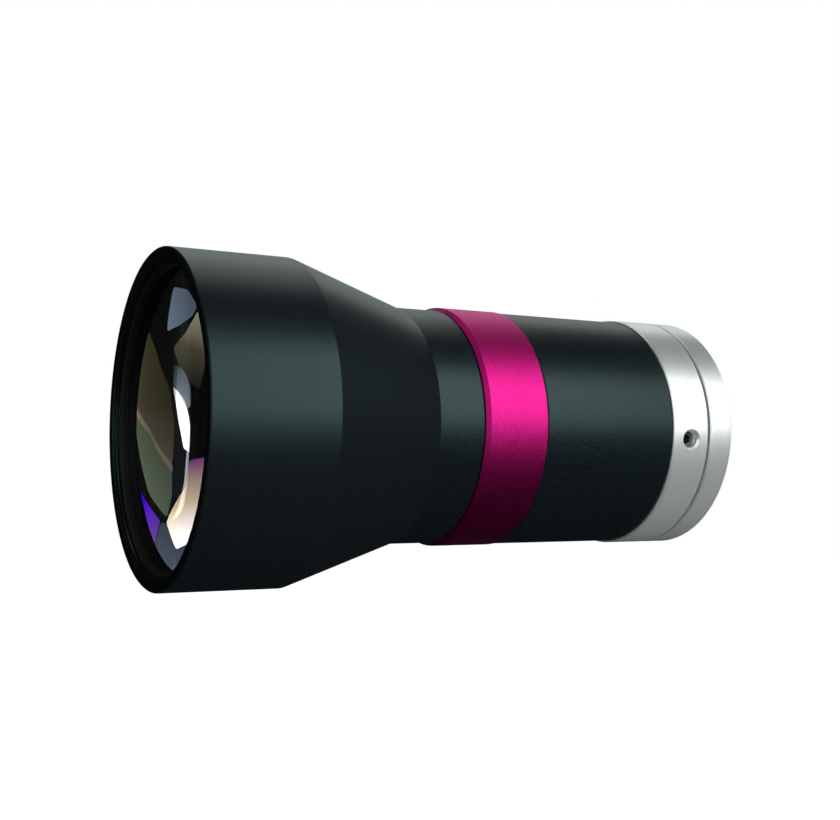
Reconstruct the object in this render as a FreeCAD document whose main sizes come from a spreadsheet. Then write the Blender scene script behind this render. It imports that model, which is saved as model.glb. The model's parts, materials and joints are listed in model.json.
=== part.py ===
import FreeCAD, Part
import math
import os
from types import SimpleNamespace

import Sketcher

# Bi-telecentric lens. The optical axis is X: the object side is towards -X, the camera towards +X.
# The origin is on the axis in the plane of the camera flange. All sketches are drawn in one layout
# that is measured along the axis from the front rim, with the radius as the sketch's second axis.

os.makedirs("parts", exist_ok=True)

# Driving sizes in millimetres, angles in degrees
driving = {
    # Outside, from the front rim to the rear
    "front_diameter": 50.0,
    "front_length": 18.4,
    "cone_length": 18.7,
    "neck_step": 0.35,
    "neck_length": 7.8,
    "accent_rise": 0.15,
    "accent_width": 10.9,
    "barrel_diameter": 38.2,
    "barrel_length": 24.4,
    "mount_rise": 0.3,
    "mount_ring_width": 7.2,
    "mount_gap": 0.5,
    "mount_plate_width": 5.1,
    "camera_thread_diameter": 25.4,
    "camera_thread_length": 4.0,
    "camera_thread_wall": 1.5,
    # Edges
    "edge_break": 0.2,
    "rim_bevel": 0.4,
    "accent_chamfer": 0.6,
    "mount_rear_chamfer": 0.75,
    "thread_chamfer": 0.5,
    # Clearances
    "turning_clearance": 0.05,
    "glass_clearance": 0.02,
    "cement_layer": 0.02,
    "end_clearance": 0.2,
    "cell_clearance": 0.3,
    # Front glass
    "glass_recess": 0.25,
    "crown_shoulder": 0.45,
    "crown_front_curve": 120.0,
    "crown_thickness": 9.5,
    "cement_curve": 55.0,
    "flint_thickness": 2.8,
    "flint_rear_curve": 170.0,
    "front_air_gap": 0.6,
    "meniscus_step": 2.05,
    "meniscus_seat_width": 1.1,
    "meniscus_front_curve": 48.0,
    "meniscus_thickness": 6.4,
    "meniscus_rear_curve": 160.0,
    # What holds the front glass
    "rim_wall": 2.0,
    "retaining_land": 0.8,
    "retaining_width": 1.3,
    "retaining_bevel": 0.35,
    "retaining_relief": 0.7,
    "spacer_front_land": 0.95,
    "spacer_rear_land": 0.7,
    # Front throat with its light-trap steps
    "throat_wall": 1.4,
    "throat_steps": 6.0,
    # Neck barrel and the threaded joints, which share one radius
    "joint_wall": 2.1,
    "front_joint_length": 6.0,
    "neck_tube_wall": 1.6,
    "neck_bore_depth": 15.9,
    "accent_seat_step": 0.4,
    "rear_joint_length": 8.0,
    # Aperture stop
    "stop_seat_wall": 3.5,
    "stop_seat_depth": 4.8,
    "stop_land": 1.1,
    "stop_aperture": 6.4,
    "stop_thickness": 0.8,
    "stop_bevel": 0.5,
    "stop_ring_width": 2.0,
    "stop_ring_land": 2.5,
    # Rear lens cell and its seat in the rear barrel
    "cell_seat_wall": 4.0,
    "cell_wall": 1.5,
    "cell_lip_land": 1.5,
    "cell_lip_length": 4.5,
    "cell_front_wall": 1.2,
    "cell_land": 1.6,
    "lock_ring_wall": 1.5,
    "lock_ring_width": 2.0,
    # Rear glass
    "rear_clear_land": 1.7,
    "rear_meniscus_front_curve": 30.0,
    "rear_meniscus_thickness": 3.0,
    "rear_meniscus_rear_curve": 22.0,
    "rear_spacer_land": 0.9,
    "rear_air_gap": 0.5,
    "rear_crown_front_curve": 38.0,
    "rear_crown_thickness": 6.0,
    "rear_cement_curve": 30.0,
    "rear_flint_thickness": 1.8,
    "rear_flint_rear_curve": 80.0,
    "rear_positive_front_curve": 30.0,
    "rear_positive_thickness": 4.0,
    "rear_ring_width": 1.6,
    "rear_ring_land": 1.7,
    # Spanner slots
    "slot_width": 1.2,
    "slot_depth": 0.7,
    # Rear mount
    "mount_joint_length": 5.0,
    "mount_bore_clearance": 0.1,
    "mount_neck_wall": 1.65,
    "mount_neck_seat": 1.2,
    # Set screws in the mount ring
    "screw_count": 3.0,
    "screw_station": 3.6,
    "screw_clock_angle": 180.0,
    "screw_diameter": 2.74,
    "screw_length": 3.0,
    "screw_hole_clearance": 0.03,
    "screw_hole_chamfer": 0.4,
    "screw_groove_depth": 0.8,
    "screw_tip_clearance": 0.05,
    "screw_socket_width": 1.5,
    "screw_socket_depth": 1.2,
}


class Size:
    """A length with the sheet formula that gives it, so that sketches follow the sheet."""

    def __init__(self, value, formula):
        self.value = value
        self.formula = formula

    def joined(self, other, sign, value):
        return Size(value, f"({self.formula} {sign} {as_size(other).formula})")

    def __add__(self, other):
        return self.joined(other, "+", self.value + as_size(other).value)

    def __sub__(self, other):
        return self.joined(other, "-", self.value - as_size(other).value)

    def __mul__(self, other):
        return self.joined(other, "*", self.value * as_size(other).value)

    def __truediv__(self, other):
        return self.joined(other, "/", self.value / as_size(other).value)

    def root(self):
        return Size(math.sqrt(self.value), f"sqrt({self.formula})")


def as_size(number):
    return number if isinstance(number, Size) else Size(float(number), repr(float(number)))


def sag(curve, reach):
    """How far a sphere of the given radius falls away at a distance from its axis."""
    return curve - (curve * curve - reach * reach).root()


# The document and its sheet
doc = FreeCAD.newDocument("bi_telecentric_lens")
sheet = doc.addObject("Spreadsheet::Sheet", "sizes")
for row, (name, value) in enumerate(driving.items(), 1):
    sheet.set(f"A{row}", name)
    sheet.set(f"B{row}", str(value))
    sheet.setAlias(f"B{row}", name)
doc.recompute()
size = SimpleNamespace(**{name: Size(value, f"sizes.{name}") for name, value in driving.items()})

bodies = []
cuts = []


def origin_feature(body, role):
    return next(item for item in body.Origin.OriginFeatures if item.Role == role)


def new_body(label, clocked=False):
    """A body whose layout origin, the front rim, lies at its true distance from the camera flange."""
    body = doc.addObject("PartDesign::Body", label)
    body.Label = label
    if clocked:
        body.Placement = FreeCAD.Placement(
            FreeCAD.Vector(), FreeCAD.Rotation(FreeCAD.Vector(1, 0, 0), size.screw_clock_angle.value)
        )
        body.setExpression("Placement.Rotation.Angle", size.screw_clock_angle.formula)
    body.setExpression("Placement.Base.x", (Size(0.0, "0") - flange).formula)
    bodies.append(body)
    return body


def new_sketch(body, plane, lift=None):
    """A sketch on one of the body's own planes, lifted off it along its normal."""
    sketch = body.newObject("Sketcher::SketchObject", f"{body.Name}_{plane}")
    sketch.AttachmentSupport = [(origin_feature(body, f"{plane}_Plane"), "")]
    sketch.MapMode = "FlatFace"
    if lift is not None:
        sketch.setExpression("AttachmentOffset.Base.z", lift.formula)
    return sketch


def bind(sketch, kind, edge, end, length):
    """Holds one end of an edge at a distance from the sketch's origin that follows the sheet."""
    index = sketch.addConstraint(Sketcher.Constraint(kind, -1, 1, edge, end, length.value))
    sketch.setExpression(f"Constraints[{index}]", length.formula)


def draw_outline(sketch, points, curved=()):
    """Closed outline through the points. An edge whose number is in curved is centred on the axis."""
    corners = [(as_size(along), as_size(out)) for along, out in points]
    places = [FreeCAD.Vector(along.value, out.value, 0) for along, out in corners]
    starts = []
    ends = []
    first_edge = sketch.GeometryCount
    for number, place in enumerate(places):
        following = places[(number + 1) % len(places)]
        if number in curved:
            centre = (following.x**2 - place.x**2 + following.y**2 - place.y**2) / (
                2 * (following.x - place.x)
            )
            radius = math.hypot(place.x - centre, place.y)
            angles = [math.atan2(end.y, end.x - centre) for end in (place, following)]
            turns_left = angles[0] < angles[1]
            circle = Part.Circle(FreeCAD.Vector(centre, 0, 0), FreeCAD.Vector(0, 0, 1), radius)
            sketch.addGeometry(Part.ArcOfCircle(circle, min(angles), max(angles)))
            starts.append(1 if turns_left else 2)
            ends.append(2 if turns_left else 1)
        else:
            sketch.addGeometry(Part.LineSegment(place, following))
            starts.append(1)
            ends.append(2)
    for number in range(len(places)):
        following = (number + 1) % len(places)
        sketch.addConstraint(
            Sketcher.Constraint(
                "Coincident", first_edge + number, ends[number], first_edge + following, starts[following]
            )
        )
        if number in curved:
            sketch.addConstraint(Sketcher.Constraint("PointOnObject", first_edge + number, 3, -1))
    for number, (along, out) in enumerate(corners):
        bind(sketch, "DistanceX", first_edge + number, starts[number], along)
        bind(sketch, "DistanceY", first_edge + number, starts[number], out)


def turn(body, sketch, kind="Revolution", axis="H_Axis"):
    feature = body.newObject(f"PartDesign::{kind}", f"{body.Name}_{kind}")
    feature.Profile = sketch
    feature.ReferenceAxis = (sketch, [axis])
    feature.Angle = 360.0
    sketch.Visibility = False
    return feature


def turned_piece(label, points, curved=(), clocked=False):
    """A piece turned about the optical axis from its half section."""
    body = new_body(label, clocked)
    sketch = new_sketch(body, "XY")
    draw_outline(sketch, points, curved)
    turn(body, sketch)
    doc.recompute()
    return body


def cut_spanner_slots(body, face, reach, from_front):
    """Two slots across a ring's face for a pin spanner: one bar cut right across the ring."""
    before = body.Tip
    sketch = new_sketch(body, "YZ", face)
    half = size.slot_width / 2
    zero = Size(0.0, "0")
    far = reach + size.slot_width
    draw_outline(sketch, [(far, half), (zero - far, half), (zero - far, zero - half), (far, zero - half)])
    pocket = body.newObject("PartDesign::Pocket", f"{body.Name}_slots")
    pocket.Profile = sketch
    pocket.Reversed = from_front
    pocket.setExpression("Length", size.slot_depth.formula)
    doc.recompute()
    cuts.append((before, pocket))


def repeat_about_axis(body, features):
    pattern = body.newObject("PartDesign::PolarPattern", f"{body.Name}_pattern")
    pattern.Originals = features
    pattern.Axis = (origin_feature(body, "X_Axis"), [""])
    pattern.Angle = 360.0
    pattern.setExpression("Occurrences", size.screw_count.formula)
    body.Tip = pattern
    doc.recompute()
    return pattern


# Stations along the axis, measured from the front rim
cone_end = size.front_length + size.cone_length
neck_end = cone_end + size.neck_length
accent_end = neck_end + size.accent_width
barrel_end = accent_end + size.barrel_length
mount_ring_end = barrel_end + size.mount_ring_width
mount_plate_start = mount_ring_end + size.mount_gap
flange = mount_plate_start + size.mount_plate_width
thread_end = flange + size.camera_thread_length

# Outside radii
front_radius = size.front_diameter / 2
barrel_radius = size.barrel_diameter / 2
neck_radius = barrel_radius - size.neck_step
accent_radius = barrel_radius + size.accent_rise
mount_radius = barrel_radius + size.mount_rise
camera_thread_radius = size.camera_thread_diameter / 2

# Front glass: vertices of the surfaces and the radii that hold it
retaining_radius = front_radius - size.rim_wall
crown_radius = retaining_radius - size.crown_shoulder
crown_vertex = size.glass_recess
crown_rear = crown_vertex + size.crown_thickness
flint_vertex = crown_rear + size.cement_layer
flint_rear = flint_vertex + size.flint_thickness
meniscus_radius = crown_radius - size.meniscus_step
meniscus_clear = meniscus_radius - size.meniscus_seat_width
meniscus_vertex = flint_rear + size.front_air_gap
meniscus_rear = meniscus_vertex + size.meniscus_thickness
meniscus_seat = meniscus_rear + sag(size.meniscus_rear_curve, meniscus_clear)

# Retaining ring and spacer: their faces stand on the spheres at their openings
retaining_inner = retaining_radius - size.retaining_land
retaining_rear = crown_vertex + sag(size.crown_front_curve, retaining_inner) - size.glass_clearance
retaining_front = retaining_rear - size.retaining_width
spacer_front_inner = crown_radius - size.spacer_front_land
spacer_rear_inner = meniscus_radius - size.spacer_rear_land
spacer_front = flint_rear - sag(size.flint_rear_curve, spacer_front_inner) + size.glass_clearance
spacer_rear = meniscus_vertex + sag(size.meniscus_front_curve, spacer_rear_inner) - size.glass_clearance

# Joints between the housing, the neck barrel and the rear barrel
joint_radius = barrel_radius - size.joint_wall
accent_seat_radius = joint_radius + size.accent_seat_step
front_joint_start = cone_end - size.front_joint_length
rear_joint_end = accent_end + size.rear_joint_length
stop_seat = rear_joint_end - size.stop_seat_depth
stop_rear = stop_seat + size.stop_thickness
stop_ring_rear = stop_rear + size.stop_ring_width
stop_seat_radius = joint_radius - size.stop_seat_wall

# Rear cell: its seat in the rear barrel and the stack of glass inside it
cell_radius = joint_radius - size.cell_seat_wall
rear_glass_radius = cell_radius - size.cell_wall
lock_radius = cell_radius + size.lock_ring_wall
cell_lip_start = rear_joint_end + size.end_clearance
cell_seat = cell_lip_start + size.cell_lip_length
stack_seat = cell_seat + size.cell_front_wall
rear_clear = rear_glass_radius - size.rear_clear_land
rear_spacer_inner = rear_glass_radius - size.rear_spacer_land
rear_meniscus_vertex = stack_seat + sag(size.rear_meniscus_front_curve, rear_clear)
rear_meniscus_rear = rear_meniscus_vertex + size.rear_meniscus_thickness
rear_crown_vertex = rear_meniscus_rear + size.rear_air_gap
rear_crown_rear = rear_crown_vertex + size.rear_crown_thickness
rear_flint_vertex = rear_crown_rear + size.cement_layer
rear_flint_rear = rear_flint_vertex + size.rear_flint_thickness
rear_positive_vertex = rear_flint_rear + size.rear_air_gap
rear_positive_rear = rear_positive_vertex + size.rear_positive_thickness
rear_ring_rear = rear_positive_rear + size.rear_ring_width
cell_end = rear_ring_rear + size.end_clearance

# Rear mount
mount_joint_start = barrel_end - size.mount_joint_length
web_end = mount_joint_start - size.end_clearance
mount_bore_radius = lock_radius + size.mount_bore_clearance
mount_neck_start = barrel_end + size.mount_neck_seat
mount_cell_bore = cell_radius + size.cell_clearance
mount_neck_radius = mount_cell_bore + size.screw_groove_depth + size.mount_neck_wall
camera_opening_radius = camera_thread_radius - size.camera_thread_wall
screw_station = barrel_end + size.screw_station
screw_tip = mount_neck_radius - size.screw_groove_depth + size.screw_tip_clearance
screw_top = screw_tip + size.screw_length
screw_radius = size.screw_diameter / 2


# Front housing: cylinder and cone in one piece, with the glass seats and a stepped light trap inside
def make_front_housing():
    steps = int(driving["throat_steps"])
    throat_radius = joint_radius - size.throat_wall
    joint_bottom = front_joint_start - size.end_clearance
    tread = (joint_bottom - meniscus_seat) / steps
    riser = (meniscus_clear - throat_radius) / (steps - 1)
    crown_bore = crown_radius + size.turning_clearance
    meniscus_bore = meniscus_radius + size.turning_clearance
    bore_step = spacer_rear + size.turning_clearance
    relief_end = retaining_rear + size.retaining_relief
    outline = [
        (0, retaining_radius + size.rim_bevel),
        (0, front_radius - size.edge_break),
        (size.edge_break, front_radius),
        (size.front_length, front_radius),
        (cone_end, neck_radius),
        (cone_end, joint_radius + size.turning_clearance),
        (joint_bottom, joint_radius + size.turning_clearance),
    ]
    for step in reversed(range(steps)):
        step_radius = meniscus_clear - riser * step
        outline.append((meniscus_seat + tread * (step + 1), step_radius))
        outline.append((meniscus_seat + tread * step, step_radius))
    outline += [
        (meniscus_seat, meniscus_bore),
        (bore_step, meniscus_bore),
        (bore_step, crown_bore),
        (relief_end, crown_bore),
        (relief_end, retaining_radius),
        (size.rim_bevel, retaining_radius),
    ]
    turned_piece("front_housing", outline)


def make_front_retaining_ring():
    outside = retaining_radius - size.turning_clearance
    ring = turned_piece(
        "front_retaining_ring",
        [
            (retaining_front, retaining_inner + size.retaining_bevel),
            (retaining_front, outside),
            (retaining_rear, outside),
            (retaining_rear, retaining_inner),
            (retaining_front + size.retaining_bevel, retaining_inner),
        ],
    )
    cut_spanner_slots(ring, retaining_front, outside, from_front=True)


# Front glass: a cemented doublet and a meniscus behind it
def make_front_glass():
    crown_edge = crown_vertex + sag(size.crown_front_curve, crown_radius)
    crown_rear_edge = crown_rear - sag(size.cement_curve, crown_radius)
    turned_piece(
        "front_crown_lens",
        [(crown_vertex, 0), (crown_edge, crown_radius), (crown_rear_edge, crown_radius), (crown_rear, 0)],
        curved={0, 2},
    )
    flint_edge = flint_vertex - sag(size.cement_curve, crown_radius)
    flint_rear_edge = flint_rear - sag(size.flint_rear_curve, crown_radius)
    turned_piece(
        "front_flint_lens",
        [(flint_vertex, 0), (flint_edge, crown_radius), (flint_rear_edge, crown_radius), (flint_rear, 0)],
        curved={0, 2},
    )
    turned_piece(
        "front_meniscus_lens",
        [
            (meniscus_vertex, 0),
            (meniscus_vertex + sag(size.meniscus_front_curve, meniscus_radius), meniscus_radius),
            (meniscus_seat, meniscus_radius),
            (meniscus_seat, meniscus_clear),
            (meniscus_rear, 0),
        ],
        curved={0, 3},
    )


def make_front_spacer():
    turned_piece(
        "front_spacer",
        [
            (spacer_front, spacer_front_inner),
            (spacer_front, crown_radius),
            (spacer_rear, crown_radius),
            (spacer_rear, spacer_rear_inner),
        ],
    )


# Neck barrel: the neck that shows, the seat under the accent ring and a threaded joint at each end
def make_neck_barrel():
    bore = joint_radius - size.neck_tube_wall
    bore_end = front_joint_start + size.neck_bore_depth
    throat = stop_seat_radius - size.stop_land
    accent_seat_end = accent_end - size.end_clearance
    turned_piece(
        "neck_barrel",
        [
            (front_joint_start, bore),
            (front_joint_start, joint_radius),
            (cone_end, joint_radius),
            (cone_end, neck_radius),
            (neck_end, neck_radius),
            (neck_end, accent_seat_radius),
            (accent_seat_end, accent_seat_radius),
            (accent_seat_end, joint_radius),
            (rear_joint_end, joint_radius),
            (rear_joint_end, stop_seat_radius),
            (stop_seat, stop_seat_radius),
            (stop_seat, throat),
            (bore_end, throat),
            (bore_end, bore),
        ],
    )


def make_accent_ring():
    inside = accent_seat_radius + size.turning_clearance
    turned_piece(
        "accent_ring",
        [
            (neck_end, inside),
            (neck_end, accent_radius - size.accent_chamfer),
            (neck_end + size.accent_chamfer, accent_radius),
            (accent_end - size.edge_break, accent_radius),
            (accent_end, accent_radius - size.edge_break),
            (accent_end, inside),
        ],
    )


def make_aperture_stop():
    aperture = size.stop_aperture / 2
    outside = stop_seat_radius - size.turning_clearance
    turned_piece(
        "aperture_stop",
        [
            (stop_seat, aperture),
            (stop_seat, outside),
            (stop_rear, outside),
            (stop_rear, aperture + size.stop_bevel),
        ],
    )
    opening = stop_seat_radius - size.stop_ring_land
    ring = turned_piece(
        "stop_retaining_ring",
        [(stop_rear, opening), (stop_rear, outside), (stop_ring_rear, outside), (stop_ring_rear, opening)],
    )
    cut_spanner_slots(ring, stop_ring_rear, outside, from_front=False)


# Rear barrel: plain tube outside, threaded joint at each end and the seat of the rear cell inside
def make_rear_barrel():
    front_bore = joint_radius + size.turning_clearance
    rear_bore = joint_radius + size.turning_clearance
    cell_bore = cell_radius + size.turning_clearance
    lip = cell_radius - size.cell_lip_land
    turned_piece(
        "rear_barrel",
        [
            (accent_end, front_bore),
            (accent_end, barrel_radius - size.edge_break),
            (accent_end + size.edge_break, barrel_radius),
            (barrel_end - size.edge_break, barrel_radius),
            (barrel_end, barrel_radius - size.edge_break),
            (barrel_end, rear_bore),
            (web_end, rear_bore),
            (web_end, cell_bore),
            (cell_seat, cell_bore),
            (cell_seat, lip),
            (cell_lip_start, lip),
            (cell_lip_start, front_bore),
        ],
    )


def make_rear_cell():
    opening = rear_glass_radius - size.cell_land
    glass_bore = rear_glass_radius + size.turning_clearance
    turned_piece(
        "rear_lens_cell",
        [
            (cell_seat, opening),
            (cell_seat, cell_radius),
            (cell_end, cell_radius),
            (cell_end, glass_bore),
            (stack_seat, glass_bore),
            (stack_seat, opening),
        ],
    )
    lock_inside = cell_radius + size.turning_clearance
    lock_rear = web_end + size.lock_ring_width
    ring = turned_piece(
        "cell_lock_ring",
        [(web_end, lock_inside), (web_end, lock_radius), (lock_rear, lock_radius), (lock_rear, lock_inside)],
    )
    cut_spanner_slots(ring, lock_rear, lock_radius, from_front=False)


# Rear glass: a meniscus, a cemented doublet and a plano-convex lens
def make_rear_glass():
    reach = rear_glass_radius
    turned_piece(
        "rear_meniscus_lens",
        [
            (rear_meniscus_vertex, 0),
            (stack_seat, rear_clear),
            (stack_seat, reach),
            (rear_meniscus_rear - sag(size.rear_meniscus_rear_curve, reach), reach),
            (rear_meniscus_rear, 0),
        ],
        curved={0, 3},
    )
    crown_edge = rear_crown_vertex + sag(size.rear_crown_front_curve, reach)
    crown_rear_edge = rear_crown_rear - sag(size.rear_cement_curve, reach)
    turned_piece(
        "rear_crown_lens",
        [(rear_crown_vertex, 0), (crown_edge, reach), (crown_rear_edge, reach), (rear_crown_rear, 0)],
        curved={0, 2},
    )
    flint_edge = rear_flint_vertex - sag(size.rear_cement_curve, reach)
    flint_rear_edge = rear_flint_rear - sag(size.rear_flint_rear_curve, reach)
    turned_piece(
        "rear_flint_lens",
        [(rear_flint_vertex, 0), (flint_edge, reach), (flint_rear_edge, reach), (rear_flint_rear, 0)],
        curved={0, 2},
    )
    positive_edge = rear_positive_vertex + sag(size.rear_positive_front_curve, reach)
    turned_piece(
        "rear_positive_lens",
        [
            (rear_positive_vertex, 0),
            (positive_edge, reach),
            (rear_positive_rear, reach),
            (rear_positive_rear, 0),
        ],
        curved={0},
    )


def make_rear_stack_rings():
    inside = rear_spacer_inner
    spacers = {
        "rear_spacer_front": (
            rear_meniscus_rear - sag(size.rear_meniscus_rear_curve, inside),
            rear_crown_vertex + sag(size.rear_crown_front_curve, inside),
        ),
        "rear_spacer_back": (
            rear_flint_rear - sag(size.rear_flint_rear_curve, inside),
            rear_positive_vertex + sag(size.rear_positive_front_curve, inside),
        ),
    }
    for label, (glass_ahead, glass_behind) in spacers.items():
        start = glass_ahead + size.glass_clearance
        end = glass_behind - size.glass_clearance
        outline = [
            (start, inside),
            (start, rear_glass_radius),
            (end, rear_glass_radius),
            (end, inside),
        ]
        turned_piece(label, outline)
    opening = rear_glass_radius - size.rear_ring_land
    ring = turned_piece(
        "rear_retaining_ring",
        [
            (rear_positive_rear, opening),
            (rear_positive_rear, rear_glass_radius),
            (rear_ring_rear, rear_glass_radius),
            (rear_ring_rear, opening),
        ],
    )
    cut_spanner_slots(ring, rear_ring_rear, rear_glass_radius, from_front=False)


# Mount ring: joint into the rear barrel, bore for the camera mount's neck, radial tapped holes
def make_mount_ring():
    neck_bore = mount_neck_radius + size.turning_clearance
    ring = turned_piece(
        "mount_ring",
        [
            (mount_joint_start, mount_bore_radius),
            (mount_joint_start, joint_radius),
            (barrel_end, joint_radius),
            (barrel_end, mount_radius - size.edge_break),
            (barrel_end + size.edge_break, mount_radius),
            (mount_ring_end - size.edge_break, mount_radius),
            (mount_ring_end, mount_radius - size.edge_break),
            (mount_ring_end, neck_bore),
            (mount_neck_start, neck_bore),
            (mount_neck_start, mount_bore_radius),
        ],
        clocked=True,
    )
    before = ring.Tip
    hole_radius = screw_radius + size.screw_hole_clearance
    chamfer_start = mount_radius - size.screw_hole_chamfer
    beyond = mount_radius + size.screw_hole_chamfer
    sketch = new_sketch(ring, "XY")
    outline = [
        (screw_station, mount_bore_radius),
        (screw_station + hole_radius, mount_bore_radius),
        (screw_station + hole_radius, chamfer_start),
        (screw_station + hole_radius + size.screw_hole_chamfer * 2, beyond),
        (screw_station, beyond),
    ]
    add_radial_axis(sketch)
    draw_outline(sketch, outline)
    hole = turn(ring, sketch, "Groove", "Axis0")
    doc.recompute()
    pattern = repeat_about_axis(ring, [hole])
    cuts.append((before, hole))
    cuts.append((hole, pattern))


def add_radial_axis(sketch):
    """Construction line along a radial hole, which is the sketch's first edge and its turning axis."""
    foot = FreeCAD.Vector(screw_station.value, 0, 0)
    head = FreeCAD.Vector(screw_station.value, mount_radius.value, 0)
    sketch.addGeometry(Part.LineSegment(foot, head), True)
    bind(sketch, "DistanceX", 0, 1, screw_station)
    bind(sketch, "DistanceX", 0, 2, screw_station)
    sketch.addConstraint(Sketcher.Constraint("PointOnObject", 0, 1, -1))
    bind(sketch, "DistanceY", 0, 2, mount_radius)


# Camera mount: neck with a groove for the set screws, plate with the flange face, male camera thread
def make_camera_mount():
    groove = size.screw_groove_depth
    chamfer = size.mount_rear_chamfer
    bore_bottom = cell_end + size.end_clearance
    turned_piece(
        "camera_mount",
        [
            (mount_neck_start, mount_cell_bore),
            (mount_neck_start, mount_neck_radius),
            (screw_station - groove, mount_neck_radius),
            (screw_station, mount_neck_radius - groove),
            (screw_station + groove, mount_neck_radius),
            (mount_plate_start, mount_neck_radius),
            (mount_plate_start, mount_radius - size.edge_break),
            (mount_plate_start + size.edge_break, mount_radius),
            (flange - chamfer, mount_radius),
            (flange, mount_radius - chamfer),
            (flange, camera_thread_radius),
            (thread_end - size.thread_chamfer, camera_thread_radius),
            (thread_end, camera_thread_radius - size.thread_chamfer),
            (thread_end, camera_opening_radius),
            (bore_bottom, camera_opening_radius),
            (bore_bottom, mount_cell_bore),
        ],
    )


# Set screws: cone point in the groove, hexagon socket outwards, one for each tapped hole
def make_set_screws():
    body = new_body("mount_set_screws", clocked=True)
    body.AllowCompound = True
    sketch = new_sketch(body, "XY")
    add_radial_axis(sketch)
    draw_outline(
        sketch,
        [
            (screw_station, screw_tip),
            (screw_station + screw_radius, screw_tip + screw_radius),
            (screw_station + screw_radius, screw_top - size.edge_break),
            (screw_station + screw_radius - size.edge_break, screw_top),
            (screw_station, screw_top),
        ],
    )
    shank = turn(body, sketch, axis="Axis0")
    doc.recompute()
    socket_sketch = new_sketch(body, "XZ", Size(0.0, "0") - screw_top)
    half = size.screw_socket_width / 2
    corner = half * 2 / math.sqrt(3.0)
    zero = Size(0.0, "0")
    draw_outline(
        socket_sketch,
        [
            (screw_station + corner, zero),
            (screw_station + corner / 2, half),
            (screw_station - corner / 2, half),
            (screw_station - corner, zero),
            (screw_station - corner / 2, zero - half),
            (screw_station + corner / 2, zero - half),
        ],
    )
    socket = body.newObject("PartDesign::Pocket", "mount_set_screws_socket")
    socket.Profile = socket_sketch
    socket.Reversed = True
    socket.setExpression("Length", size.screw_socket_depth.formula)
    doc.recompute()
    cuts.append((shank, socket))
    repeat_about_axis(body, [shank, socket])


make_front_housing()
make_front_retaining_ring()
make_front_glass()
make_front_spacer()
make_neck_barrel()
make_accent_ring()
make_aperture_stop()
make_rear_barrel()
make_rear_cell()
make_rear_glass()
make_rear_stack_rings()
make_mount_ring()
make_camera_mount()
make_set_screws()
doc.recompute()

# Nothing is written unless every feature worked, every shape is sound and every cut removed something
for item in doc.Objects:
    if {"Invalid", "Error"} & set(item.State):
        raise RuntimeError(f"{item.Label} did not recompute: {item.State}")
for body in bodies:
    if body.Shape.isNull() or not body.Shape.isValid():
        raise RuntimeError(f"{body.Label} has no sound shape")
for before, after in cuts:
    if after.Shape.Volume > before.Shape.Volume - 0.001:
        raise RuntimeError(f"{after.Label} cut nothing")

for body in bodies:
    shape = body.Shape
    shape.exportStep(f"parts/{body.Label}.step")
    box = shape.BoundBox
    print(
        f"{body.Label}: {len(shape.Solids)} solid, {shape.Volume / 1000:.3f} cm3,"
        f" x {box.XMin:.2f} to {box.XMax:.2f}, reach {box.YMax:.2f}"
    )
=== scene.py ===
import json
import math

import bmesh
import bpy
from mathutils import Matrix, Vector


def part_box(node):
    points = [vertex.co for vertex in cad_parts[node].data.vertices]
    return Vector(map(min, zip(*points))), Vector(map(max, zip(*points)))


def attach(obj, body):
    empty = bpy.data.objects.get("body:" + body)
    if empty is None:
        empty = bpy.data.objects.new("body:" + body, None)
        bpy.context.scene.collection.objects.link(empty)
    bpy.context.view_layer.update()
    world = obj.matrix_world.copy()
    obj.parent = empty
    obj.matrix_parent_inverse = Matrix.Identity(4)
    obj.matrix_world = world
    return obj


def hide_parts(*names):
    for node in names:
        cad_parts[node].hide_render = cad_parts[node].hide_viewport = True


# Bi-telecentric lens: the optical axis is X, the front glass looks towards -X, the camera flange is at 0
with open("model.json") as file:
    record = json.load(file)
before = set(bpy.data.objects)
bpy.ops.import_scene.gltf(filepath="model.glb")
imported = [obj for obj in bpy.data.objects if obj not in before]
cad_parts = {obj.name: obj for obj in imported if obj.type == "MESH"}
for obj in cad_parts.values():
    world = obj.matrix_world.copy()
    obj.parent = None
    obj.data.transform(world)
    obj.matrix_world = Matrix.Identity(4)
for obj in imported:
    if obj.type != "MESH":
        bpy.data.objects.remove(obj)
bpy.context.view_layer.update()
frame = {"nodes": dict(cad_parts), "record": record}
mm = 0.001
print("frame loaded,", len(frame["nodes"]), "nodes")

# Camera, fitted to the rims and edges in the photograph
cameraView = {
    "lensLength": 52.964,
    "sensorWidth": 36.0,
    "place": (-0.14465, -0.17510, 0.00877),
    "forward": (0.47797, 0.87784, -0.03076),
    "up": (-0.02979, 0.05120, 0.99824),
}


def makeCamera(view):
    data = bpy.data.cameras.new("photoCamera")
    data.sensor_width = view["sensorWidth"]
    data.sensor_fit = "HORIZONTAL"
    data.lens = view["lensLength"]
    data.clip_start = 0.005
    data.clip_end = 50
    camera = bpy.data.objects.new("photoCamera", data)
    bpy.context.collection.objects.link(camera)
    forward = Vector(view["forward"]).normalized()
    right = forward.cross(Vector(view["up"])).normalized()
    up = right.cross(forward)
    turn = Matrix((right, up, -forward)).transposed().to_4x4()
    camera.matrix_world = Matrix.Translation(view["place"]) @ turn
    bpy.context.scene.camera = camera


makeCamera(cameraView)
bpy.context.scene.view_settings.view_transform = "Standard"


# Node helpers
def addNode(tree, kind, inputs=None, **settings):
    node = tree.nodes.new(kind)
    for name, value in settings.items():
        setattr(node, name, value)
    for name, value in (inputs or {}).items():
        if isinstance(value, bpy.types.NodeSocket):
            tree.links.new(value, node.inputs[name])
        else:
            node.inputs[name].default_value = value
    return node


def math1(tree, operation, first, second=None):
    inputs = {0: first} if second is None else {0: first, 1: second}
    return addNode(tree, "ShaderNodeMath", inputs, operation=operation).outputs[0]


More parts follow.
